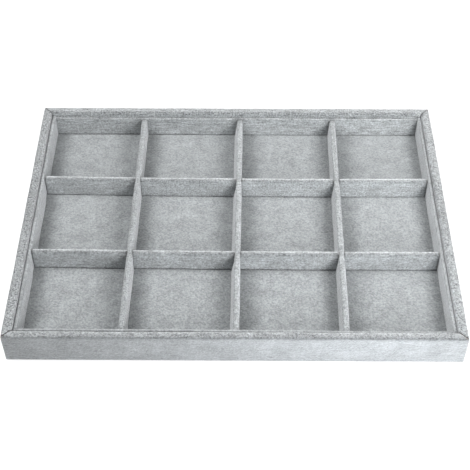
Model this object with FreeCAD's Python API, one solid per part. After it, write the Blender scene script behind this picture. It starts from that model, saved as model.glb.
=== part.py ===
"""Velvet-covered jewelry tray with a lift-out divider grid.

Millimetres, +Z up, front towards -Y, origin at the centre of the underside.
"""
import FreeCAD, Part
import math
import os

# Overall size of the tray
tray_length = 350.0
tray_depth = 260.0
tray_height = 30.0

# Thickness of the stock
velvet = 0.7
wall_board = 5.7
base_board = 3.0
floor_card = 1.0
liner_card = 0.8
divider_board = 3.5
felt_edge = 0.5

# Walls and their velvet wraps
board_round = 0.6
rim_round = 1.3
base_rebate = 3.0
wrap_hem = 14.0
wrap_tuck = 14.0
mitre_seam = 0.2

# Wall liners
front_liner_drop = 3.2
side_liner_drop = 3.4
rear_liner_drop = 4.7
liner_gap = 0.8
liner_hem = 10.0
liner_round = 0.3
liner_foot_gap = 0.4
liner_joint_gap = 0.2

# Divider grid, evenly spaced but for the small shift of each divider
divider_drop = 5.2
divider_round = 1.2
divider_foot_gap = 0.8
divider_end_gap = 0.4
slot_clearance = 0.3
left_divider_shift = -1.2
middle_divider_shift = 2.1
right_divider_shift = 2.4
front_divider_shift = 1.2
rear_divider_shift = 3.2

# Underside felt and fitting clearances of the panels
felt_inset = 3.0
felt_clearance = 0.3
base_clearance = 0.2
floor_clearance = 0.3

# Steel pins
pin_diameter = 1.0
corner_pin_length = 14.0
corner_pin_height_shares = (0.3, 0.7)
base_pin_length = 12.0
long_wall_base_pins = 4
short_wall_base_pins = 3

# Extra reach of every cutting shape
overrun = 1.0

# Levels
hem_level = felt_edge
foot_level = hem_level + velvet
base_top = foot_level + base_board
card_top = base_top + floor_card
floor_level = card_top + velvet
board_top = tray_height - velvet
divider_top = tray_height - divider_drop
halving_level = (floor_level + divider_top) / 2

# Depths measured inwards from the outer face of a wall
board_inner = velvet + wall_board
rim_width = board_inner + velvet
liner_back = rim_width + liner_gap
liner_face = liner_back + velvet + liner_card + velvet
rebate_face = board_inner - base_rebate

# Divider pattern
divider_width = velvet + divider_board + velvet
inner_length = tray_length - 2 * liner_face
inner_depth = tray_depth - 2 * liner_face
column_shifts = {
    "left": left_divider_shift,
    "middle": middle_divider_shift,
    "right": right_divider_shift,
}
row_shifts = {"front": front_divider_shift, "rear": rear_divider_shift}

# Walls in order round the tray, each a quarter turn after the one before
walls = ("front", "right", "rear", "left")
long_walls = ("front", "rear")
liner_drops = {
    "front": front_liner_drop,
    "right": side_liner_drop,
    "rear": rear_liner_drop,
    "left": side_liner_drop,
}


def vector(x, y, z):
    return FreeCAD.Vector(x, y, z)


def slab(half_length, half_depth, low, high):
    """Flat panel centred on the tray."""
    corner = vector(-half_length, -half_depth, low)
    return Part.makeBox(2 * half_length, 2 * half_depth, high - low, corner)


def quarter_turn(shape):
    """Turn a shape a quarter turn to the left about the tray's upright axis."""
    shape.rotate(vector(0, 0, 0), vector(0, 0, 1), 90)


def outline_edges(points):
    """Straight edges and corner arcs of a closed outline of (depth, height, radius) points."""
    spots = [vector(0, depth, height) for depth, height, radius in points]
    starts, ends, arcs = [], [], []
    for index, (depth, height, radius) in enumerate(points):
        spot = spots[index]
        back = (spots[index - 1] - spot).normalize()
        ahead = (spots[(index + 1) % len(points)] - spot).normalize()
        half_turn = back.getAngle(ahead) / 2
        reach = radius / math.tan(half_turn)
        starts.append(spot + back * reach)
        ends.append(spot + ahead * reach)
        inward = (back + ahead).normalize()
        arcs.append(spot + inward * (radius / math.sin(half_turn) - radius))
    edges = []
    for index, point in enumerate(points):
        if point[2] > 0:
            edges.append(Part.Arc(starts[index], arcs[index], ends[index]).toShape())
        edges.append(Part.makeLine(ends[index], starts[(index + 1) % len(points)]))
    return edges


def bar(points, run):
    """Straight bar along X with the given cross-section, centred on X = 0."""
    section = Part.Face(Part.Wire(outline_edges(points)))
    section.translate(vector(-run / 2, 0, 0))
    return section.extrude(vector(run, 0, 0))


def mitre(shape, run, depth, seam):
    """Trim both ends of a bar at 45 degrees, leaving half the seam at each end."""
    inset = seam / math.sqrt(2)
    half = run / 2 - inset
    corners = [
        vector(-half, 0, -overrun),
        vector(half, 0, -overrun),
        vector(half - depth, depth, -overrun),
        vector(depth - half, depth, -overrun),
    ]
    plan = Part.Face(Part.makePolygon(corners + corners[:1]))
    return shape.common(plan.extrude(vector(0, 0, tray_height + 2 * overrun)))


def wall_run(side):
    """Length of a wall along its outer face."""
    return tray_length if side in long_walls else tray_depth


def place_on_wall(shape, side):
    """Move a bar from depth coordinates to its wall."""
    across = tray_depth if side in long_walls else tray_length
    shape.translate(vector(0, -across / 2, 0))
    for turn in range(walls.index(side)):
        quarter_turn(shape)
    return shape


def wall_board_bar(side):
    """Mitred wall board with a rebate for the base along its lower inner edge."""
    run = wall_run(side)
    section = [
        (velvet, foot_level, board_round),
        (velvet, board_top, board_round),
        (board_inner, board_top, rim_round),
        (board_inner, base_top, 0),
        (rebate_face, base_top, 0),
        (rebate_face, foot_level, 0),
    ]
    return place_on_wall(mitre(bar(section, run), run, board_inner, 0), side)


def wall_wrap(side):
    """Velvet turned under the foot, up the outer face, over the rim and down inside."""
    run = wall_run(side)
    outer_round = board_round + velvet
    tuck_level = tray_height - wrap_tuck
    section = [
        (wrap_hem, hem_level, 0),
        (0, hem_level, outer_round),
        (0, tray_height, outer_round),
        (rim_width, tray_height, rim_round + velvet),
        (rim_width, tuck_level, 0),
        (board_inner, tuck_level, 0),
        (board_inner, board_top, rim_round),
        (velvet, board_top, board_round),
        (velvet, foot_level, board_round),
        (wrap_hem, foot_level, 0),
    ]
    return place_on_wall(mitre(bar(section, run), run, wrap_hem, mitre_seam), side)


def liner_run(side):
    """Side liners run the full depth, front and rear liners fit between them."""
    if side in long_walls:
        return tray_length - 2 * (liner_face + liner_joint_gap)
    return tray_depth - 2 * liner_back


def liner_card_bar(side):
    """Card strip that stands on the floor against a wall."""
    card_edge = tray_height - liner_drops[side] - velvet
    section = [
        (liner_back + velvet, floor_level, 0),
        (liner_back + velvet, card_edge, liner_round),
        (liner_face - velvet, card_edge, liner_round),
        (liner_face - velvet, floor_level, 0),
    ]
    return place_on_wall(bar(section, liner_run(side)), side)


def liner_wrap(side):
    """Velvet down the face of a liner, folded over its top and hemmed behind."""
    outer_round = liner_round + velvet
    liner_top = tray_height - liner_drops[side]
    hem_end = liner_top - liner_hem
    face_foot = floor_level + liner_foot_gap
    section = [
        (liner_back, hem_end, 0),
        (liner_back, liner_top, outer_round),
        (liner_face, liner_top, outer_round),
        (liner_face, face_foot, 0),
        (liner_face - velvet, face_foot, 0),
        (liner_face - velvet, liner_top - velvet, liner_round),
        (liner_back + velvet, liner_top - velvet, liner_round),
        (liner_back + velvet, hem_end, 0),
    ]
    return place_on_wall(bar(section, liner_run(side)), side)


def even_places(span, shifts):
    """Centres of dividers that part a span into equal cells, each with its own shift."""
    pitch = (span + divider_width) / (len(shifts) + 1)
    places = {}
    middle = -(span + divider_width) / 2
    for name, shift in shifts.items():
        middle += pitch
        places[name] = middle + shift
    return places


column_places = even_places(inner_length, column_shifts)
row_places = even_places(inner_depth, row_shifts)


def divider_core_bar(run):
    """Board at the heart of a divider, standing on the floor."""
    half = divider_board / 2
    section = [
        (-half, floor_level, 0),
        (-half, divider_top - velvet, divider_round),
        (half, divider_top - velvet, divider_round),
        (half, floor_level, 0),
    ]
    return bar(section, run)


def divider_wrap_bar(run):
    """Velvet folded over a divider, ending just above the floor on both sides."""
    half = divider_width / 2
    inner_half = half - velvet
    outer_round = divider_round + velvet
    wrap_foot = floor_level + divider_foot_gap
    section = [
        (-half, wrap_foot, 0),
        (-half, divider_top, outer_round),
        (half, divider_top, outer_round),
        (half, wrap_foot, 0),
        (inner_half, wrap_foot, 0),
        (inner_half, divider_top - velvet, divider_round),
        (-inner_half, divider_top - velvet, divider_round),
        (-inner_half, wrap_foot, 0),
    ]
    return bar(section, run)


def halving_slots(places, low, high):
    """Slots along X, one for each divider that crosses."""
    width = divider_width + 2 * slot_clearance
    reach = divider_width + 2 * overrun
    slots = []
    for place in places:
        corner = vector(place - width / 2, -reach / 2, low)
        slots.append(Part.makeBox(width, reach, high - low, corner))
    return Part.makeCompound(slots)


def column_divider(shape, name):
    """Front-to-back divider, slotted from below so that it drops over the cross dividers."""
    slots = halving_slots(
        row_places.values(), floor_level - overrun, halving_level + slot_clearance / 2
    )
    shape = shape.cut(slots)
    quarter_turn(shape)
    shape.translate(vector(column_places[name], 0, 0))
    return shape


def cross_divider(shape, name):
    """Left-to-right divider, slotted from above to take the front-to-back ones."""
    slots = halving_slots(
        column_places.values(), halving_level - slot_clearance / 2, divider_top + overrun
    )
    shape = shape.cut(slots)
    shape.translate(vector(0, row_places[name], 0))
    return shape


def underside_felt():
    """Felt sheet, thinned along its edge where it laps over the turned-under hems."""
    edge = slab(tray_length / 2 - felt_inset, tray_depth / 2 - felt_inset, 0, felt_edge)
    island_inset = wrap_hem + felt_clearance
    island = slab(
        tray_length / 2 - island_inset, tray_depth / 2 - island_inset, 0, foot_level
    )
    return edge.fuse(island).removeSplitter()


def corner_pins():
    """Two pins at each corner, driven through a side wall into the end of a long wall."""
    start = tray_length / 2 - velvet
    across = tray_depth / 2 - (velvet + wall_board / 2)
    pins = []
    for share in corner_pin_height_shares:
        height = foot_level + share * (board_top - foot_level)
        for end in (-1, 1):
            for side in (-1, 1):
                head = vector(end * start, side * across, height)
                inward = vector(-end, 0, 0)
                pins.append(Part.makeCylinder(pin_diameter / 2, corner_pin_length, head, inward))
    return Part.makeCompound(pins)


def base_pins():
    """Pins driven up through the edge of the base into the walls."""
    across = (rebate_face + board_inner) / 2
    pins = []
    for side in walls:
        count = long_wall_base_pins if side in long_walls else short_wall_base_pins
        pitch = wall_run(side) / count
        for index in range(count):
            along = pitch * index - pitch * (count - 1) / 2
            pin = Part.makeCylinder(
                pin_diameter / 2, base_pin_length, vector(along, across, foot_level)
            )
            pins.append(place_on_wall(pin, side))
    return Part.makeCompound(pins)


def build():
    """Every piece of the tray by name."""
    all_pins = [corner_pins(), base_pins()]
    base_edge = rebate_face + base_clearance
    floor_edge = board_inner + floor_clearance
    base = slab(tray_length / 2 - base_edge, tray_depth / 2 - base_edge, foot_level, base_top)
    floor_half = (tray_length / 2 - floor_edge, tray_depth / 2 - floor_edge)
    pieces = {
        "underside_felt": underside_felt(),
        "base_board": base.cut(all_pins),
        "floor_card": slab(*floor_half, base_top, card_top),
        "floor_velvet": slab(*floor_half, card_top, floor_level),
        "corner_pins": all_pins[0],
        "base_pins": all_pins[1],
    }
    for side in walls:
        pieces[side + "_wall_board"] = wall_board_bar(side).cut(all_pins)
        pieces[side + "_wall_velvet"] = wall_wrap(side)
        pieces[side + "_liner_card"] = liner_card_bar(side)
        pieces[side + "_liner_velvet"] = liner_wrap(side)
    column_run = inner_depth - 2 * divider_end_gap
    cross_run = inner_length - 2 * divider_end_gap
    for name in column_shifts:
        pieces[name + "_divider_core"] = column_divider(divider_core_bar(column_run), name)
        pieces[name + "_divider_velvet"] = column_divider(divider_wrap_bar(column_run), name)
    for name in row_shifts:
        pieces[name + "_cross_divider_core"] = cross_divider(divider_core_bar(cross_run), name)
        pieces[name + "_cross_divider_velvet"] = cross_divider(divider_wrap_bar(cross_run), name)
    return pieces


os.makedirs("parts", exist_ok=True)
for node, shape in build().items():
    shape.exportStep("parts/" + node + ".step")
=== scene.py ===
import math

import bmesh
import bpy
import numpy as np
from mathutils import Matrix, Vector


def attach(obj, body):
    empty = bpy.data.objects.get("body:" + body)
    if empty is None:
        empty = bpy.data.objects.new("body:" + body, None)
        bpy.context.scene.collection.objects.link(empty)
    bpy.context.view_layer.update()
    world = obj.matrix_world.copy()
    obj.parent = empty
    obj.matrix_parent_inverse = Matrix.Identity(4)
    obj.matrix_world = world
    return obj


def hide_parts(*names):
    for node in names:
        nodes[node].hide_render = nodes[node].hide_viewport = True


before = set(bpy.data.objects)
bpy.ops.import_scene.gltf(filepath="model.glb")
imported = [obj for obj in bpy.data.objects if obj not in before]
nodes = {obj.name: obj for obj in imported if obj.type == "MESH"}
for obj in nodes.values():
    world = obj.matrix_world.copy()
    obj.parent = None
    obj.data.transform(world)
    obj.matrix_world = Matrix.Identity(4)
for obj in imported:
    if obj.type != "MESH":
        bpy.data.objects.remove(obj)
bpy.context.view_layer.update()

# Lengths are in millimetres down to the mesh itself, which is in metres
MM = 0.001

WALLS = ("front", "right", "rear", "left")
LONG_WALLS = ("front", "rear")

# Tray and its cloth
LENGTH, DEPTH, HEIGHT = 350.0, 260.0, 30.0
CLOTH = 0.7
RIM = 7.1
HEM, HEM_LEVEL, TUCK_LEVEL = 14.0, 0.5, 16.0
EDGE_ROUND, RIM_ROUND = 1.3, 2.0
FLOOR_LEVEL, CARD_TOP, FLOOR_EDGE = 5.9, 5.2, 6.7
FELT_INSET, FELT_ISLAND = 3.0, HEM + 0.3
# Gap in a mitre and mean depth of a mitred end
MITRE_GAP, MITRE_DEPTH = 0.06, 4.4
# How far the mitre seam pulls open on the rim, how much more at its outer corner, and where that fades
SEAM_PULL, CORNER_PULL, CORNER_REACH = 0.18, 0.35, (0.8, 2.2)
# Where the rim starts below the top of the tray, and half the length over which face and rim blend
RIM_DROP, RIM_BLEND = 0.4, 0.4
# How far the cloth lies below its outline, and how far the front rim and its inner edge are pressed down
WALL_REST, FRONT_PRESS, FRONT_EDGE_PRESS = 0.04, 0.1, 0.25
INNER_EDGE, INNER_EDGE_WIDTH, TUCK_TURN = 0.5, 1.2, 0.6

# Wall liners
LINER_BACK, LINER_FACE = 7.9, 10.1
LINER_ROUND, LINER_HEM, LINER_FOOT = 1.0, 10.0, 6.5
LINER_TOPS = {"front": 26.8, "right": 26.6, "rear": 25.3, "left": 26.6}
LINER_JOINT = 0.2
# Distances from a divider over which the waves of a liner rise
LINER_CALM = (3, 9)
# How far the cloth swells: inside each wall, at the back of each liner and on its face
TUCK_BULGE = {"front": 0.0, "right": 0.1, "rear": 0.45, "left": 0.28}
LINER_BULGE = {"front": (0.0, 0.0), "right": (0.5, 0.25), "rear": (0.0, 0.0), "left": (0.32, 0.6)}

# Divider grid
DIVIDER_HALF, DIVIDER_ROUND = 2.45, 1.9
DIVIDER_FOOT, DIVIDER_TOP, HALVING = 6.15, 24.8, 15.35
DIVIDER_END = 0.4
COLUMNS = {"left": -84.875, "middle": 2.1, "right": 86.075}
ROWS = {"front": -39.583, "rear": 43.983}
# The loose grid sits a little askew: sideways shift per millimetre along a divider, and a cross divider's bow
COLUMN_SKEW, ROW_SKEW = 0.0105, -0.004
ROW_BOW = {"front": -0.95, "rear": -1.25}
# Cuts that let a core bend, and the reach around a slot that moves with it
CORE_CUTS, SLOT_REACH = range(-160, 161, 10), 4.0
SLOT_GAP, SLOT_ROUND = 0.1, 0.3
# Distances from a crossing over which the pinch fades and the waves rise
PINCH, PINCH_REACH, DIVIDER_CALM = 0.25, (2.6, 6.0), (4, 10)
# How far the left leg of each front-to-back divider's velvet stands out at its foot, the curve of that leg,
# and the distances from a crossing at which it starts and is in full, below and above the half lap
FLARES = {"left": 0.3, "middle": 2.8, "right": 1.3}
FLARE_CURVE, FLARE_BELOW, FLARE_ABOVE = 1.3, (0, 2.5), (2, 10)

# Meshes: step along a path, pitch along a strip, and close steps at its ends and marks
FINE_STEP, LINER_STEP = 0.9, 1.2
STRIP_PITCH, SHEET_PITCH = 2.5, 3.0
CLOSE_STEPS = np.array([0, 0.1, 0.25, 0.45, 0.7, 1.1, 1.7, 2.6, 4.0])
CLOSE_REACH, LEAST_STEP = 5.0, 0.04
# Length at each end of a strip that shifts with the end, roundness of the end, and angle of a sharp edge
END_HOLD, END_ROUND = 45.0, 0.5
SHARP_ANGLE = 55
# Long and short waves of each cloth: height, stretch across the cloth and wavelength
WALL_WAVES = ((0.10, 2.2, 46), (0.05, 1, 9))
LINER_WAVES = ((0.12, 1.6, 38), (0.05, 1, 8))
DIVIDER_WAVES = ((0.13, 1.6, 34), (0.05, 1, 7))
FLOOR_WAVES = ((0.10, 1, 40), (0.04, 1, 9))
FELT_WAVES = ((0.03, 1, 12),)
FLOOR_DIP, FLOOR_DIP_MOST = 0.10, 0.4
FELT_DIP, FELT_DIP_MOST, FELT_ROUND = 0.03, 0.1, 0.25
# Each piece has its own seed, which also sets its grain apart along the cloth and across it
SHORT_WAVE_SEED = 50
NAP_SHIFT = (431.0, 17.0)

# Pile of the velvet by place: lightness, partly painted light and shade, and strength of its speckle and of its
# streaks along the cloth
OUTER_PILE_AND_PAINTED_LIGHT, FLOOR_PILE_AND_PAINTED_LIGHT, FELT_PILE = (0.955, 1.1, 1.2), (0.893, 1.4, 0.3), (1.0, 1.0, 1.0)
COLUMN_PILE_AND_PAINTED_LIGHT = {"left": (0.93, 2.0, 0.8), "middle": (1.07, 2.0, 0.8), "right": (0.98, 2.0, 0.8)}
ROW_PILE_AND_PAINTED_LIGHT = {"front": (1.24, 2.0, 1.9), "rear": (1.31, 2.0, 1.9)}
RIM_PILE_AND_PAINTED_LIGHT = {
    "front": (0.95, 2.6, 0.8), "right": (0.945, 3.2, 0.6),
    "rear": (0.98, 2.8, 3.0), "left": (0.99, 3.6, 0.6),
}
LINER_PILE_AND_PAINTED_LIGHT = {
    "front": (1.2, 1.2, 0.8), "right": (1.09, 1.8, 0.8),
    "rear": (1.17, 1.8, 3.0), "left": (1.14, 1.8, 0.8),
}
# Painted light and shade across a cloth, by the distance from the rim's outer edge or from the middle of a
# liner's or divider's top: highlights along edges and tops, and shade on roundings and in the gaps beside them
RIM_PAINTED_LIGHT = {
    "front": (
        (-3.4, 1.0), (-2.4, 0.97), (-1.5, 0.78), (-0.6, 0.6), (0.4, 0.64),
        (2.4, 0.86), (3.9, 0.95), (4.8, 1.12), (6.2, 1.03),
    ),
    "right": ((-1.0, 1.0), (0.3, 0.93), (3.0, 0.94), (4.6, 0.85), (5.8, 0.95), (7.2, 1.02)),
    "rear": (
        (-1.0, 1.0), (0.3, 1.08), (3.8, 1.12), (4.6, 1.04), (5.6, 0.8),
        (6.6, 0.78), (8.2, 1.06), (9.5, 1.16), (11.5, 1.08),
    ),
    "left": ((-1.0, 1.0), (1.3, 0.84), (2.7, 0.92), (5.5, 0.85), (6.9, 0.92)),
}
LINER_PAINTED_LIGHT = {
    "front": ((-2.0, 0.85), (0.0, 0.85)),
    "right": ((-2.0, 0.6), (-0.5, 0.65), (1.2, 0.8), (3.0, 1.08), (12.0, 1.03), (20.0, 0.94)),
    "rear": ((-1.5, 0.76), (0.0, 0.78), (1.2, 0.86), (3.0, 1.02)),
    "left": ((-2.0, 0.64), (-0.5, 0.69), (1.2, 0.82), (3.0, 0.96)),
}
ROW_PAINTED_LIGHT = (
    (-8.0, 1.0), (-5.0, 1.08), (-3.6, 0.92), (-2.2, 0.6), (-0.6, 0.58),
    (0.1, 0.88), (0.7, 1.2), (2.2, 1.2), (4.5, 1.0),
)
COLUMN_PAINTED_LIGHT = (
    (-7.0, 1.0), (-4.0, 1.1), (-2.2, 1.14), (-1.0, 1.05), (0.0, 0.95),
    (1.0, 0.98), (2.4, 1.12), (4.0, 1.17), (9.0, 1.17),
)
# Painted shadow along the foot of a cloth: depth of its shade, and the heights between which it fades
COLUMN_FOOT_SHADOW = (0.85, 0.15, 0.6)
ROW_FOOT_SHADOW = {"front": (0.95, 0.4, 1.5), "rear": (0.9, 0.2, 1.2)}
LINER_FOOT_SHADOW = (0.85, 0.15, 0.7)
# Painted shade in seams and at the ends where cloth meets cloth: depth and width
SEAM_SHADE = (0.75, 0.45)
LINER_END_SHADE = (0.5, 0.8)
DIVIDER_END_SHADES = ((0.6, 0.8), (0.2, 3.5))
ROW_SLOT_SHIFT = 0.3
# Painted shadow beside dividers that meet a face, as in the photo: its depth on their left and right, and its
# width
REAR_LINER_SHADOW, ROW_SHADOW, DIVIDER_SHADOW_WIDTH = (0.42, 0.14), (0.25, 0.0), 4.5
# Painted shade of the gap behind the front liner: depth, place before the middle of its top, and width
FRONT_GAP_SHADE = (0.95, 1.4, 1.0)
# Side rims: painted light at the ends and painted shade in the middle, and the width of that dip
RIM_DIP, RIM_DIP_WIDTH = {"right": (0.07, 0.24), "left": (0.03, 0.12)}, 45
# Width of the painted highlight and shade along the front rim's outer edge
FRONT_EDGE_WIDTH = 1.6
# Floor: width of the painted shadow beside dividers, a wider and fainter one, and width of the one at the front
# right
FLOOR_SIDE_WIDTH, FLOOR_WIDE, FLOOR_CORNER_WIDTH = 7.0, (0.05, 18.0), 30.0
# Painted light and shade changing along a cloth, and the rise of the front liner (FRONT_PROUD_RAMP): first
# value, change, and the places between which it changes
FRONT_EDGE_RAMP = (0.1, -0.27, -150, 150)
OUTER_LEFT_RAMP = (0.06, -0.06, -170, -60)
FRONT_PROUD_RAMP = (0.8, -0.8, 40, 100)
FRONT_GAP_SHADE_RAMP = (1, -1, -60, 40)
LEFT_LINER_RAMP = (1.04, -0.12, 20, 100)
REAR_LINER_RAMP = (0.94, 0.19, -150, 150)
REAR_FOOT_SHADOW_RAMP = (0.8, -0.65, -130, 50)
COLUMN_RAMP = (0.99, 0.09, 10, 110)
ROW_RAMP = (0.94, 0.12, -150, 150)
ROW_FOOT_SHADOW_RAMP = (1, -0.3, 40, 120)
FLOOR_RAMP = (0.985, 0.03, -80, 80)
FLOOR_SIDE_RAMP = (0.13, -0.05, -60, 60)
FLOOR_CORNER_RAMP = (0, 0.13, 85, 130)

# Velvet: colour, and the scale, detail and strength of its noises
VELVET_COLOUR = (0.335, 0.353, 0.3605)
SPECKLE, STREAK, BLOTCH = (720, 3, 0.32), (760, 3, 0.16), (85, 4, 0.2)
STREAK_STRETCH = (0.13, 1.0, 1.0)
PLAIN_DETAIL, PLAIN_BUMP = 4, 0.0003
VELVET_BUMP = (0.8, 0.0006)
SLOTS = {
    "_felt": "felt", "_velvet": "velvet", "_board": "board",
    "_core": "board", "_card": "card", "_pins": "pin_steel",
}

# Stage: side and level of the floor, its grey as it lights the tray, and the grey and glow that are seen
STAGE_SIDE, STAGE_LEVEL = 8.0, -0.0002
PAPER, SEEN_PAPER, SEEN_GLOW = (0.55, 0.55, 0.55, 1), (0.25, 0.25, 0.25, 1), 0.86
# The world is white where it is seen, and gives no other light
DOME, WHITE = 0.0, (1, 1, 1, 1)
# Lamps aimed at the middle of the tray: place, side, power and tint
PLAIN, COOL = (1.0, 1.0, 1.0), (0.93, 0.955, 1.0)
LAMPS = [
    ("left", (-0.6142, -0.043, 0.788), 0.4, 6.25, PLAIN),
    ("left_high", (-0.4226, 0.0, 0.9063), 0.4, 2.1, PLAIN),
    ("back_left", (-0.3214, 0.5567, 0.766), 0.4, 1.0, PLAIN),
    ("key_high", (0.3486, -0.1269, 0.5936), 0.14, 1.4, PLAIN),
    ("key_low", (0.4393, -0.3076, 0.45), 0.14, 1.0, PLAIN),
    ("right", (0.3, 0.05, 0.42), 0.2, 0.22, PLAIN),
    ("right_low", (0.24, 0.02, 0.22), 0.12, 0.2, PLAIN),
    ("far_front", (0.3, -0.6, 0.32), 0.2, 1.6, PLAIN),
    ("front_low", (0.13, -0.3, 0.06), 0.1, 0.385, COOL),
    ("front_edge", (0.32, -0.34, 0.03), 0.05, 0.075, COOL),
    ("back_low", (-0.1, 0.6, 0.06), 0.2, 0.6, PLAIN),
]
# Camera: angles in degrees, place in metres, and focal length and picture width in pixels
CAMERA_TURN, CAMERA_RISE, CAMERA_ROLL = 0.332, 47.858, 0.027
CAMERA_DISTANCE, CAMERA_ASIDE, CAMERA_ABOVE = 0.882251, -0.000499, 0.000665
FOCAL_PIXELS, PICTURE_PIXELS, SENSOR = 1038.125, 470, 36.0


# Small functions

def smooth_step(value, low, high):
    share = np.clip((value - low) / (high - low), 0, 1)
    return share * share * (3 - 2 * share)


def ramp(value, first, change, low, high):
    return first + change * smooth_step(value, low, high)


def bell(distance, width):
    return np.exp(-(distance / width) ** 2)


def nearest(x, places):
    """Distance to the nearest of some places."""
    return np.min([np.abs(x - p) for p in places], axis=0)


def ripples(a, b, wave, seed):
    """Smooth, repeatable unevenness of about -1 to 1 with the given wavelength."""
    rng = np.random.RandomState(seed)
    total = np.zeros(np.broadcast(a, b).shape)
    for _ in range(9):
        turn, phase, stretch = rng.uniform(0, math.tau), rng.uniform(0, math.tau), rng.uniform(0.7, 1.4)
        pace = math.tau / (wave * stretch)
        total += np.sin(pace * (a * math.cos(turn) + b * math.sin(turn)) + phase)
    return total / 4


def waves(a, b, sizes, seed):
    """Long and short ripples of a cloth together."""
    return sum(high * ripples(a, b * stretch, wave, seed + SHORT_WAVE_SEED * number)
               for number, (high, stretch, wave) in enumerate(sizes))


def edge_drop(distance, radius):
    """How far a cloth face falls away near a cut edge, so that the edge is round."""
    inside = np.clip(radius - distance, 0, radius)
    return radius - np.sqrt(radius ** 2 - inside ** 2)


def column_bend(y):
    return COLUMN_SKEW * y


def row_bend(row, x):
    return ROW_SKEW * x + ROW_BOW[row] * (1 - (x / (LENGTH / 2 - LINER_FACE)) ** 2)


def divider_shadow(x, places, left, right):
    """Shade of a face, with a shadow painted on the left and on the right of the dividers that meet it."""
    shade = 1.0
    for place in places:
        gap = np.clip(np.abs(x - place) - DIVIDER_HALF, 0, None)
        shade = shade * (1 - np.where(x < place, left, right) * bell(gap, DIVIDER_SHADOW_WIDTH))
    return shade


def with_painted_light(pile_and_painted_light, distance, light):
    """Pile along a strip's path, with light and shade painted on its lightness by a distance."""
    rows = np.broadcast_to(pile_and_painted_light, (len(distance), 3)).copy()
    rows[:, 0] *= np.interp(distance, *zip(*light))
    return rows


def grain_places(x, y, seed):
    """Places of a cloth's points in its own grain."""
    along, across = NAP_SHIFT
    return np.stack([x + along * seed, y, np.full(x.shape, across * seed)], -1)


# Cloth strips

def strip_path(corners, step):
    """Points, outward normals and running length along an open outline of (depth, height, radius) corners."""
    points, normals = [], []
    reach_before = 0.0
    for index in range(1, len(corners)):
        a, b = np.array(corners[index - 1][:2]), np.array(corners[index][:2])
        radius = corners[index][2]
        ahead = (b - a) / np.linalg.norm(b - a)
        normal = np.array([-ahead[1], ahead[0]])
        turn = 0.0
        if index + 1 < len(corners):
            after = np.array(corners[index + 1][:2]) - b
            turn = math.atan2(ahead[0] * after[1] - ahead[1] * after[0], ahead @ after)
        reach = radius * math.tan(abs(turn) / 2)
        first, last = a + ahead * reach_before, b - ahead * reach
        count = max(1, math.ceil(np.linalg.norm(last - first) / step))
        for share in np.linspace(0, 1, count + 1):
            point = first + (last - first) * share
            if not points or np.linalg.norm(point - points[-1]) > 1e-6:
                points.append(point)
                normals.append(normal)
        if radius > 0:
            centre = last - normal * radius
            for share in np.linspace(0, 1, 9)[1:-1]:
                c, s = math.cos(turn * share), math.sin(turn * share)
                swung = np.array([c * normal[0] - s * normal[1], s * normal[0] + c * normal[1]])
                points.append(centre + swung * radius)
                normals.append(swung)
        reach_before = reach
    points, normals = np.array(points), np.array(normals)
    steps = np.linalg.norm(np.diff(points, axis=0), axis=1)
    return points, normals, np.concatenate([[0], np.cumsum(steps)])


def stations(half, marks=(), pitch=STRIP_PITCH):
    """Places along a strip, close together at its ends and at each mark."""
    places = list(np.linspace(-half, half, round(2 * half / pitch) + 1)[1:-1])
    kept = []
    for mark in (-half, half, *marks):
        places = [p for p in places if abs(p - mark) > CLOSE_REACH]
        kept += [mark + d for d in (*CLOSE_STEPS, *-CLOSE_STEPS)]
    places = sorted({round(p, 4) for p in places + kept if -half <= p <= half})
    return np.array([p for p, q in zip(places, places[1:] + [1e9]) if q - p > LEAST_STEP])


def shell(name, outer, inner, keep, nap, pile_and_painted_light):
    """Closed cloth mesh between two grids of points, without the cells that are cut out."""
    rows, columns = keep.shape
    index = np.arange((rows + 1) * (columns + 1)).reshape(rows + 1, columns + 1)
    shift = index.size
    faces = []
    for i in range(rows):
        for j in range(columns):
            if not keep[i, j]:
                continue
            ring = [index[i, j], index[i + 1, j], index[i + 1, j + 1], index[i, j + 1]]
            faces.append(ring)
            faces.append([v + shift for v in reversed(ring)])
            beside = ((i, j - 1), (i + 1, j), (i, j + 1), (i - 1, j))
            for side, (k, m) in enumerate(beside):
                if 0 <= k < rows and 0 <= m < columns and keep[k, m]:
                    continue
                v, w = ring[side], ring[(side + 1) % 4]
                faces.append([w, v, v + shift, w + shift])
    points = np.concatenate([outer.reshape(-1, 3), inner.reshape(-1, 3)]) * MM
    mesh = bpy.data.meshes.new(name)
    mesh.from_pydata(points.tolist(), [], [[int(v) for v in f] for f in faces])
    grain = mesh.attributes.new("nap", "FLOAT_VECTOR", "POINT")
    grain.data.foreach_set("vector", (np.concatenate([nap, nap]).reshape(-1, 3) * MM).ravel())
    # Lightness of the pile with painted light and shade in it, and the strengths of speckle and streaks
    lay_and_painted_light = mesh.attributes.new("pile_and_painted_light", "FLOAT_VECTOR", "POINT")
    lay_and_painted_light.data.foreach_set("vector", np.concatenate([pile_and_painted_light, pile_and_painted_light]).ravel())
    work = bmesh.new()
    work.from_mesh(mesh)
    bmesh.ops.delete(work, geom=[v for v in work.verts if not v.link_faces], context="VERTS")
    bmesh.ops.recalc_face_normals(work, faces=work.faces)
    work.to_mesh(mesh)
    work.free()
    mesh.shade_smooth()
    mesh.set_sharp_from_angle(angle=math.radians(SHARP_ANGLE))
    piece = bpy.data.objects.new(name, mesh)
    bpy.context.scene.collection.objects.link(piece)
    return piece


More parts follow.
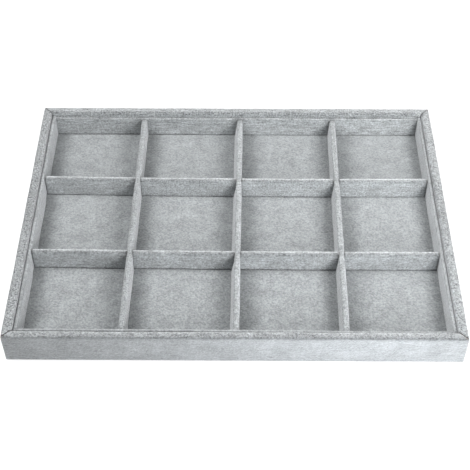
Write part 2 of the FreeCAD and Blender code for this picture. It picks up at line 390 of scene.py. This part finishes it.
def strip(name, path, places, ends, place, lift, keep, pile_and_painted_light, shade, seed):
    """Cloth strip swept along its places, with its half-lengths at the points of its face and back."""
    points, normals, running = path
    back = points - normals * CLOTH
    reach = places[-1]
    hold = reach - END_HOLD

    def along(half):
        short = (reach - half)[None, :]
        spread_out = places[:, None] * (hold - short) / hold
        shifted = places[:, None] - np.sign(places)[:, None] * short
        return np.where(np.abs(places)[:, None] < hold, spread_out, shifted)

    x_face, x_back = along(ends[0]), along(ends[1])
    end = (reach - np.abs(places))[:, None]
    raised = lift(x_face, running[None, :]) - edge_drop(end, END_ROUND)
    face = points[None] + normals[None] * raised[:, :, None]
    back = np.broadcast_to(back[None], face.shape)
    nap = grain_places(x_face, np.broadcast_to(running, x_face.shape), seed)
    pile_and_painted_light = np.broadcast_to(pile_and_painted_light, (*x_face.shape, 3)).copy()
    pile_and_painted_light[..., 0] *= shade(x_face, end)
    return shell(name, place(x_face, face), place(x_back, back), keep, nap, pile_and_painted_light)


# Cloth pieces

def on_wall(side):
    """Carries strip places (along, depth, height) to a wall."""
    across = DEPTH if side in LONG_WALLS else LENGTH

    def place(x, section):
        y, z = section[..., 0] - across / 2, section[..., 1]
        for _ in range(WALLS.index(side)):
            x, y = -y, x
        return np.stack([x, y, z], -1)

    return place


def wall_cloth(side, seed):
    """Velvet under the foot, up the outer face, over the rim and down inside, mitred at the corners."""
    corners = [
        (HEM, HEM_LEVEL, 0), (0, HEM_LEVEL, EDGE_ROUND), (0, HEIGHT, EDGE_ROUND),
        (RIM, HEIGHT, RIM_ROUND), (RIM, TUCK_LEVEL, 0),
    ]
    path = strip_path(corners, FINE_STEP)
    points, normals, running = path
    run = LENGTH if side in LONG_WALLS else DEPTH
    full = run / 2 - MITRE_GAP
    places = stations(full)
    depth, height = points.T
    rim_start = running[np.argmax(height > HEIGHT - RIM_DROP)]
    on_rim = smooth_step(running, rim_start - RIM_BLEND, rim_start + RIM_BLEND)
    pull = on_rim * (SEAM_PULL + CORNER_PULL * (1 - smooth_step(depth, *CORNER_REACH)))
    inner_edge = bell(depth - RIM + INNER_EDGE, INNER_EDGE_WIDTH) * on_rim
    press = TUCK_BULGE[side] * smooth_step(depth, RIM - TUCK_TURN, RIM) * on_rim
    if side == "front":
        press = press - (FRONT_EDGE_PRESS * inner_edge + FRONT_PRESS * on_rim)

    def lift(x, t):
        shown = smooth_step(t, HEM - 2, HEM + 2)
        return shown * (waves(x, t, WALL_WAVES, seed) - WALL_REST + press[None, :])

    # Painted shade in the mitre seams on the rim; on the front, a painted highlight along the rim's outer edge
    # at the left that turns to painted shade at the right, and painted shade on the left of the outer face; the
    # side rims are painted lighter at the ends and darker in the middle
    def shade(x, end):
        deep, width = SEAM_SHADE
        seam = 1 - deep * bell(end, width) * on_rim
        if side == "front":
            edge = bell(running - rim_start, FRONT_EDGE_WIDTH) * ramp(x, *FRONT_EDGE_RAMP)
            return seam * (1 + edge - ramp(x, *OUTER_LEFT_RAMP) * (1 - on_rim))
        if side in RIM_DIP:
            ends, dip = RIM_DIP[side]
            return seam * (1 + (ends - dip * bell(x, RIM_DIP_WIDTH)) * on_rim)
        return seam

    outer, rim = np.array(OUTER_PILE_AND_PAINTED_LIGHT), np.array(RIM_PILE_AND_PAINTED_LIGHT[side])
    pile_and_painted_light = with_painted_light(outer + (rim - outer) * on_rim[:, None], running - rim_start, RIM_PAINTED_LIGHT[side])
    keep = np.ones((len(places) - 1, len(running) - 1), bool)
    ends = (full - depth - pull, full - (points - normals * CLOTH)[:, 0])
    piece = strip(side + "_wall_cloth", path, places, ends, on_wall(side), lift, keep, pile_and_painted_light, shade, seed)
    return piece, side + "_wall_velvet", "tray"


def liner_cloth(side, seed):
    """Velvet folded over a wall liner."""
    top = LINER_TOPS[side]
    corners = [
        (LINER_BACK, top - LINER_HEM, 0), (LINER_BACK, top, LINER_ROUND),
        (LINER_FACE, top, LINER_ROUND), (LINER_FACE, LINER_FOOT, 0),
    ]
    path = strip_path(corners, LINER_STEP)
    points, normals, running = path
    if side in LONG_WALLS:
        half, dividers = LENGTH / 2 - LINER_FACE - LINER_JOINT, COLUMNS
    else:
        half, dividers = DEPTH / 2 - LINER_BACK, ROWS
    places = stations(half)
    crossings = [s * c for s in (-1, 1) for c in dividers.values()]
    facing_up = np.clip(normals[None, :, 1], 0, 1)
    at_back, at_face = (np.clip(s * normals[None, :, 0], 0, 1) for s in (-1, 1))
    top_middle = running[np.argmax(points[:, 0] > (LINER_BACK + LINER_FACE) / 2 - 0.11)]

    def lift(x, t):
        clear = smooth_step(nearest(x, crossings), *LINER_CALM)
        free = clear * smooth_step(t, LINER_HEM - 3, LINER_HEM)
        proud = facing_up * (ramp(x, *FRONT_PROUD_RAMP) if side == "front" else 0)
        back, face = LINER_BULGE[side]
        return free * waves(x, t, LINER_WAVES, seed) + proud + back * at_back + face * at_face * clear

    # Painted shadow along the foot, deeper at the left of the rear liner, and painted shade at the ends; painted
    # shade of the gap behind the front liner; the left liner painted darker towards the front; the rear liner
    # painted with shadows beside the dividers and lighter towards the right
    def shade(x, end):
        deep, low, high = LINER_FOOT_SHADOW
        if side == "rear":
            deep = ramp(-x, *REAR_FOOT_SHADOW_RAMP)
        foot_shade = 1 - deep * (1 - smooth_step(running[-1] - running, low, high))
        end_deep, end_width = LINER_END_SHADE
        met = 1 - end_deep * bell(end, end_width)
        if side == "front":
            gap, before, width = FRONT_GAP_SHADE
            met = met * (1 - gap * bell(running - top_middle + before, width) * ramp(x, *FRONT_GAP_SHADE_RAMP))
        if side == "left":
            met = met * ramp(x, *LEFT_LINER_RAMP)
        if side == "rear":
            meeting = [c + column_bend(DEPTH / 2) for c in COLUMNS.values()] + [half + DIVIDER_HALF]
            met = met * divider_shadow(-x, meeting, *REAR_LINER_SHADOW) * ramp(-x, *REAR_LINER_RAMP)
        return foot_shade * met

    keep = np.ones((len(places) - 1, len(running) - 1), bool)
    ends = (np.full(len(points), half),) * 2
    pile_and_painted_light = with_painted_light(LINER_PILE_AND_PAINTED_LIGHT[side], running - top_middle, LINER_PAINTED_LIGHT[side])
    piece = strip(side + "_liner_cloth", path, places, ends, on_wall(side), lift, keep, pile_and_painted_light, shade, seed)
    return piece, side + "_liner_velvet", "tray"


def divider_cloth(name, half, crossings, slot_below, place, pile_and_painted_light, light, foot_shadow, seed, flare=0.0):
    """Velvet folded over a divider, cut out where another divider crosses."""
    corners = [
        (-DIVIDER_HALF, DIVIDER_FOOT, 0), (-DIVIDER_HALF, HALVING, 0),
        (-DIVIDER_HALF, DIVIDER_TOP, DIVIDER_ROUND), (DIVIDER_HALF, DIVIDER_TOP, DIVIDER_ROUND),
        (DIVIDER_HALF, HALVING, 0), (DIVIDER_HALF, DIVIDER_FOOT, 0),
    ]
    path = strip_path(corners, FINE_STEP)
    points, normals, running = path
    slot_half = DIVIDER_HALF + SLOT_GAP - (0 if slot_below else PINCH)
    marks = [c + s * slot_half for c in crossings for s in (-1, 1)]
    places = stations(half, marks)
    height = points[None, :, 1]
    upper = smooth_step(height, HALVING - 1, HALVING + 1)
    above = smooth_step(height, HALVING - 3, HALVING + 5)
    low = np.clip((DIVIDER_TOP - DIVIDER_ROUND - height) / (DIVIDER_TOP - DIVIDER_FOOT), 0, 1)
    left_leg = normals[None, :, 0] > 0.9

    def lift(x, t):
        near = nearest(x, crossings)
        squeeze = PINCH * (1 - smooth_step(near, *PINCH_REACH)) if slot_below else 0
        cut = edge_drop(nearest(x, marks), SLOT_ROUND) * (1 - upper if slot_below else upper)
        start, in_full = (a + (b - a) * above for a, b in zip(FLARE_BELOW, FLARE_ABOVE))
        out = flare * low ** FLARE_CURVE * left_leg * smooth_step(near, start, in_full)
        return smooth_step(near, *DIVIDER_CALM) * waves(x, t, DIVIDER_WAVES, seed) - squeeze - cut + out

    # Painted shadow along the foot, weaker at the right of the cross dividers, and painted shade at the ends and
    # slots; front-to-back dividers painted lighter towards the back; cross dividers painted lighter towards the
    # right, with a painted shadow on the left of each front-to-back divider and at the right end
    def shade(x, end):
        deep, low_edge, high_edge = foot_shadow
        if slot_below:
            met, across = end, ramp(x, *COLUMN_RAMP)
        else:
            deep = deep * ramp(x, *ROW_FOOT_SHADOW_RAMP)
            met = np.minimum(end, nearest(x, marks) + ROW_SLOT_SHIFT)
            across = ramp(x, *ROW_RAMP) * divider_shadow(x, [*crossings, half + DIVIDER_HALF], *ROW_SHADOW)
        foot_shade = 1 - deep * (1 - smooth_step(height - DIVIDER_FOOT, low_edge, high_edge))
        return foot_shade * across * (1 - sum(dark * bell(met, width) for dark, width in DIVIDER_END_SHADES))

    middle = (places[1:] + places[:-1]) / 2
    in_slot = nearest(middle, crossings) < slot_half
    level = (points[1:, 1] + points[:-1, 1]) / 2
    cut_rows = level < HALVING if slot_below else level > HALVING
    keep = ~(in_slot[:, None] & cut_rows[None, :])
    ends = (np.full(len(points), half),) * 2
    pile_and_painted_light = with_painted_light(pile_and_painted_light, running - running[-1] / 2, light)
    piece = strip(name + "_cloth", path, places, ends, place, lift, keep, pile_and_painted_light, shade, seed)
    return piece


def skewed_core(name, body, along, bend, shifts):
    """Copy of a divider's CAD core, set askew with its slots moved to where the others cross."""
    mesh = nodes[name + "_core"].data.copy()
    work = bmesh.new()
    work.from_mesh(mesh)
    for cut in CORE_CUTS:
        spot, ahead = [0, 0, 0], [0, 0, 0]
        spot[along], ahead[along] = cut * MM, 1
        geometry = [*work.verts, *work.edges, *work.faces]
        bmesh.ops.bisect_plane(work, geom=geometry, plane_co=spot, plane_no=ahead)
    work.to_mesh(mesh)
    work.free()
    spots = np.zeros(len(mesh.vertices) * 3)
    mesh.vertices.foreach_get("co", spots)
    spots = spots.reshape(-1, 3) / MM
    run = spots[:, along].copy()
    for slot, shift in shifts.items():
        spots[np.abs(run - slot) < SLOT_REACH, along] += shift
    spots[:, 1 - along] += bend(spots[:, along])
    mesh.vertices.foreach_set("co", (spots * MM).ravel())
    mesh.update()
    piece = bpy.data.objects.new(name + "_board", mesh)
    bpy.context.scene.collection.objects.link(piece)
    return piece, name + "_core", body


def column_pieces(column, seed):
    """Cloth and core of a front-to-back divider."""
    centre = COLUMNS[column]

    def place(y, section):
        return np.stack([centre - section[..., 0] + column_bend(y), y, section[..., 1]], -1)

    half = DEPTH / 2 - LINER_FACE - DIVIDER_END
    name = column + "_divider"
    shifts = {y: row_bend(row, centre + column_bend(y)) for row, y in ROWS.items()}
    crossings = [y + shift for y, shift in shifts.items()]
    cloth = divider_cloth(name, half, crossings, True, place, COLUMN_PILE_AND_PAINTED_LIGHT[column], COLUMN_PAINTED_LIGHT,
                          COLUMN_FOOT_SHADOW, seed, FLARES[column])
    return [(cloth, name + "_velvet", name), skewed_core(name, name, 1, column_bend, shifts)]


def cross_pieces(row, seed):
    """Cloth and core of a cross divider."""
    centre = ROWS[row]

    def bend(x):
        return row_bend(row, x)

    def place(x, section):
        return np.stack([x, centre + section[..., 0] + bend(x), section[..., 1]], -1)

    half = LENGTH / 2 - LINER_FACE - DIVIDER_END
    name = row + "_cross_divider"
    shifts = {x: column_bend(centre + bend(x)) for x in COLUMNS.values()}
    crossings = [x + shift for x, shift in shifts.items()]
    cloth = divider_cloth(name, half, crossings, False, place, ROW_PILE_AND_PAINTED_LIGHT[row], ROW_PAINTED_LIGHT,
                          ROW_FOOT_SHADOW[row], seed)
    return [(cloth, name + "_velvet", "cross_dividers"),
            skewed_core(name, "cross_dividers", 0, bend, shifts)]


def flat_cloth(name, half_x, half_y, face, back, pile_and_painted_light, shade, seed):
    """Flat sheet with its face and back heights and its shade given by functions of x and y."""
    xs, ys = stations(half_x, pitch=SHEET_PITCH), stations(half_y, pitch=SHEET_PITCH)
    x, y = np.meshgrid(xs, ys, indexing="ij")
    grids = [np.stack([x, y, level(x, y)], -1) for level in (face, back)]
    keep = np.ones((len(xs) - 1, len(ys) - 1), bool)
    pile_and_painted_light = np.broadcast_to(pile_and_painted_light, (*x.shape, 3)).copy()
    pile_and_painted_light[..., 0] *= shade(x, y)
    return shell(name, *grids, keep, grain_places(x, y, seed), pile_and_painted_light)


def floor_cloth(seed):
    """Velvet laid on the floor card, under all compartments."""
    half_x, half_y = LENGTH / 2 - FLOOR_EDGE, DEPTH / 2 - FLOOR_EDGE

    def face(x, y):
        return FLOOR_LEVEL - np.clip(FLOOR_DIP + waves(x, y, FLOOR_WAVES, seed), 0, FLOOR_DIP_MOST)

    def back(x, y):
        return np.full(x.shape, CARD_TOP)

    # Painted shadow beside the front-to-back dividers, deeper towards the front, a wider fainter one, and one at
    # the front right; the floor is painted lighter towards the back
    def shade(x, y):
        beside = nearest(x - column_bend(y), COLUMNS.values()) - DIVIDER_HALF
        sides = ramp(y, *FLOOR_SIDE_RAMP) * bell(beside, FLOOR_SIDE_WIDTH)
        deep, width = FLOOR_WIDE
        corner = bell(y + half_y, FLOOR_CORNER_WIDTH) * ramp(x, *FLOOR_CORNER_RAMP)
        return ramp(y, *FLOOR_RAMP) * (1 - sides - deep * bell(beside, width) - corner)

    piece = flat_cloth("floor_cloth", half_x, half_y, face, back, FLOOR_PILE_AND_PAINTED_LIGHT, shade, seed)
    return piece, "floor_velvet", "tray"


def felt_sheet(seed):
    """Felt under the base, stepped up over the turned-under velvet of the walls."""
    half_x, half_y = LENGTH / 2 - FELT_INSET, DEPTH / 2 - FELT_INSET

    def depth_in(x, y):
        return np.minimum(LENGTH / 2 - np.abs(x), DEPTH / 2 - np.abs(y))

    def face(x, y):
        rim = edge_drop(depth_in(x, y) - FELT_INSET, FELT_ROUND)
        return np.clip(FELT_DIP + waves(x, y, FELT_WAVES, seed), 0, FELT_DIP_MOST) + rim * 0.8

    def back(x, y):
        return HEM_LEVEL + CLOTH * smooth_step(depth_in(x, y), FELT_ISLAND - 0.05, FELT_ISLAND + 0.6)

    def shade(x, y):
        return 1.0

    piece = flat_cloth("underside_felt_sheet", half_x, half_y, face, back, FELT_PILE, shade, seed)
    return piece, "underside_felt", "tray"


# Materials

def new_material(name):
    material = bpy.data.materials.new(name)
    material.use_nodes = True
    tree = material.node_tree
    return material, tree, tree.nodes["Principled BSDF"]


def add_node(tree, kind, **values):
    node = tree.nodes.new(kind)
    for key, value in values.items():
        if hasattr(node, key):
            setattr(node, key, value)
        else:
            node.inputs[key].default_value = value
    return node


def noise(tree, vector, scale, detail, stretch=None):
    """Noise value, stretched along its axes where a stretch is given."""
    if stretch:
        mapping = add_node(tree, "ShaderNodeMapping")
        mapping.inputs["Scale"].default_value = stretch
        tree.links.new(vector, mapping.inputs["Vector"])
        vector = mapping.outputs["Vector"]
    texture = add_node(tree, "ShaderNodeTexNoise", Scale=scale, Detail=detail, Roughness=0.6)
    tree.links.new(vector, texture.inputs["Vector"])
    return texture.outputs["Fac"]


def spread(tree, value, low, high):
    """Maps the middle range of a noise to low and high factors."""
    span = add_node(tree, "ShaderNodeMapRange")
    for key, number in zip(("From Min", "From Max", "To Min", "To Max"), (0.25, 0.75, low, high)):
        span.inputs[key].default_value = number
    tree.links.new(value, span.inputs["Value"])
    return span.outputs["Result"]


def combined(tree, operation, values, start):
    """The values worked together one after the other, from a starting number."""
    result = start
    for value in values:
        step = add_node(tree, "ShaderNodeMath", operation=operation)
        if result is start:
            step.inputs[0].default_value = start
        else:
            tree.links.new(result, step.inputs[0])
        tree.links.new(value, step.inputs[1])
        result = step.outputs[0]
    return result


def product(tree, values):
    return combined(tree, "MULTIPLY", values, 1.0)


def total(tree, values, start=0.0):
    return combined(tree, "ADD", values, start)


def tinted(tree, shader, colour, factor):
    """Base colour scaled by a varying factor."""
    scaled = add_node(tree, "ShaderNodeVectorMath", operation="SCALE")
    scaled.inputs[0].default_value = colour
    tree.links.new(factor, scaled.inputs["Scale"])
    tree.links.new(scaled.outputs[0], shader.inputs["Base Color"])


def bumped(tree, shader, height, strength, distance):
    bump = add_node(tree, "ShaderNodeBump", Strength=strength, Distance=distance)
    tree.links.new(height, bump.inputs["Height"])
    tree.links.new(bump.outputs["Normal"], shader.inputs["Normal"])


def velvet_material():
    material, tree, shader = new_material("grey_velvet")
    grain = add_node(tree, "ShaderNodeAttribute", attribute_name="nap").outputs["Vector"]
    # Lightness of the pile with painted light and shade in it, and the strengths of speckle and streaks
    lay_and_painted_light = add_node(tree, "ShaderNodeAttribute", attribute_name="pile_and_painted_light").outputs["Vector"]
    pile_and_painted_light = add_node(tree, "ShaderNodeSeparateXYZ")
    tree.links.new(lay_and_painted_light, pile_and_painted_light.inputs[0])
    speckle = spread(tree, noise(tree, grain, *SPECKLE[:2]), -SPECKLE[2], SPECKLE[2])
    streak = spread(tree, noise(tree, grain, *STREAK[:2], STREAK_STRETCH), -STREAK[2], STREAK[2])
    blotch = spread(tree, noise(tree, grain, *BLOTCH[:2]), 1 - BLOTCH[2], 1 + BLOTCH[2])
    dots = product(tree, [speckle, pile_and_painted_light.outputs["Y"]])
    dashes = product(tree, [streak, pile_and_painted_light.outputs["Z"]])
    fuzz = total(tree, [dots, dashes])
    factor = product(tree, [pile_and_painted_light.outputs["X"], total(tree, [fuzz], 1.0), blotch])
    tinted(tree, shader, VELVET_COLOUR, factor)
    bumped(tree, shader, fuzz, *VELVET_BUMP)
    shader.inputs["Roughness"].default_value = 0.95
    shader.inputs["Specular IOR Level"].default_value = 0.15
    shader.inputs["Sheen Weight"].default_value = 1.0
    shader.inputs["Sheen Roughness"].default_value = 0.5
    shader.inputs["Sheen Tint"].default_value = (0.97, 0.98, 1.0, 1.0)
    return material


def plain_material(name, colour, roughness, grain_scale, contrast, stretch=None, bump=0.3, metallic=0.0):
    material, tree, shader = new_material(name)
    place = add_node(tree, "ShaderNodeTexCoord").outputs["Object"]
    fleck = noise(tree, place, grain_scale, PLAIN_DETAIL, stretch)
    tinted(tree, shader, colour, spread(tree, fleck, 1 - contrast, 1 + contrast))
    bumped(tree, shader, fleck, bump, PLAIN_BUMP)
    shader.inputs["Roughness"].default_value = roughness
    shader.inputs["Metallic"].default_value = metallic
    return material


MATERIALS = {
    "velvet": velvet_material(),
    "board": plain_material("raw_fibreboard", (0.42, 0.31, 0.21), 0.85, 700, 0.15),
    "card": plain_material("grey_card", (0.36, 0.34, 0.31), 0.9, 900, 0.12),
    "felt": plain_material("dark_felt", (0.06, 0.06, 0.065), 1.0, 1200, 0.3, bump=0.6),
    "pin_steel": plain_material("pin_steel", (0.55, 0.55, 0.56), 0.35, 600, 0.06,
                                stretch=(1.0, 1.0, 12.0), bump=0.1, metallic=1.0),
}


def dress(piece, slot_name):
    piece.data.materials.clear()
    piece.data.materials.append(MATERIALS[slot_name])


def slot_of(node):
    return next(slot for ending, slot in SLOTS.items() if node.endswith(ending))


pieces = [felt_sheet(1), floor_cloth(2)]
for number, side in enumerate(WALLS):
    pieces.append(wall_cloth(side, 10 + number))
    pieces.append(liner_cloth(side, 20 + number))
for number, column in enumerate(COLUMNS):
    pieces += column_pieces(column, 30 + number)
for number, row in enumerate(ROWS):
    pieces += cross_pieces(row, 40 + number)

for piece, node, body in pieces:
    dress(piece, slot_of(node))
    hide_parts(node)
    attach(piece, body)
for name, node in nodes.items():
    if not node.hide_render:
        dress(node, slot_of(name))


# Stage, light and camera

def seen_rays(tree):
    """1 for rays that show the background: from the camera, or by way of gloss or glass."""
    paths = add_node(tree, "ShaderNodeLightPath")
    seen = add_node(tree, "ShaderNodeMath", operation="MAXIMUM")
    mirrored = add_node(tree, "ShaderNodeMath", operation="MAXIMUM")
    tree.links.new(paths.outputs["Is Glossy Ray"], mirrored.inputs[0])
    tree.links.new(paths.outputs["Is Transmission Ray"], mirrored.inputs[1])
    tree.links.new(paths.outputs["Is Camera Ray"], seen.inputs[0])
    tree.links.new(mirrored.outputs[0], seen.inputs[1])
    return seen.outputs[0]


def stage_floor():
    bpy.ops.mesh.primitive_plane_add(size=STAGE_SIDE, location=(0, 0, STAGE_LEVEL))
    floor = bpy.context.object
    floor.name = "stage_floor"
    material = bpy.data.materials.new("white_floor")
    material.use_nodes = True
    tree = material.node_tree
    tree.nodes.clear()
    output = add_node(tree, "ShaderNodeOutputMaterial")
    paper = add_node(tree, "ShaderNodeBsdfDiffuse", Color=PAPER)
    faint = add_node(tree, "ShaderNodeBsdfDiffuse", Color=SEEN_PAPER)
    white = add_node(tree, "ShaderNodeEmission", Color=WHITE, Strength=SEEN_GLOW)
    both = add_node(tree, "ShaderNodeAddShader")
    mix = add_node(tree, "ShaderNodeMixShader")
    tree.links.new(faint.outputs[0], both.inputs[0])
    tree.links.new(white.outputs[0], both.inputs[1])
    tree.links.new(seen_rays(tree), mix.inputs["Fac"])
    tree.links.new(paper.outputs[0], mix.inputs[1])
    tree.links.new(both.outputs[0], mix.inputs[2])
    tree.links.new(mix.outputs[0], output.inputs["Surface"])
    floor.data.materials.append(material)


def sky(strength):
    world = bpy.data.worlds.new("studio")
    bpy.context.scene.world = world
    world.use_nodes = True
    tree = world.node_tree
    background = tree.nodes["Background"]
    background.inputs["Color"].default_value = WHITE
    level = add_node(tree, "ShaderNodeMapRange")
    tree.links.new(seen_rays(tree), level.inputs["Value"])
    level.inputs["To Min"].default_value = strength
    level.inputs["To Max"].default_value = 1.0
    tree.links.new(level.outputs["Result"], background.inputs["Strength"])


def lamp(name, place, size, power, tint):
    light = bpy.data.lights.new(name, "AREA")
    light.shape = "SQUARE"
    light.size = size
    light.energy = power
    light.color = tint
    holder = bpy.data.objects.new(name, light)
    bpy.context.scene.collection.objects.link(holder)
    holder.location = place
    holder.visible_camera = False
    holder.rotation_euler = (-Vector(place)).to_track_quat("-Z", "Y").to_euler()


def camera():
    turn, rise, roll = (math.radians(a) for a in (CAMERA_TURN, CAMERA_RISE, CAMERA_ROLL))
    back = Vector((math.sin(turn) * math.cos(rise), -math.cos(turn) * math.cos(rise), math.sin(rise)))
    level = Vector((math.cos(turn), math.sin(turn), 0))
    upright = back.cross(level)
    right = math.cos(roll) * level + math.sin(roll) * upright
    up = -math.sin(roll) * level + math.cos(roll) * upright
    data = bpy.data.cameras.new("camera")
    data.sensor_width = SENSOR
    data.lens = FOCAL_PIXELS / PICTURE_PIXELS * SENSOR
    data.clip_start, data.clip_end = 0.01, 50.0
    eye = bpy.data.objects.new("camera", data)
    bpy.context.scene.collection.objects.link(eye)
    spot = back * CAMERA_DISTANCE + right * CAMERA_ASIDE + up * CAMERA_ABOVE
    eye.matrix_world = Matrix((
        (right.x, up.x, back.x, spot.x),
        (right.y, up.y, back.y, spot.y),
        (right.z, up.z, back.z, spot.z),
        (0, 0, 0, 1),
    ))
    bpy.context.scene.camera = eye


stage_floor()
sky(DOME)
for settings in LAMPS:
    lamp(*settings)
camera()
bpy.context.scene.view_settings.view_transform = "Standard"
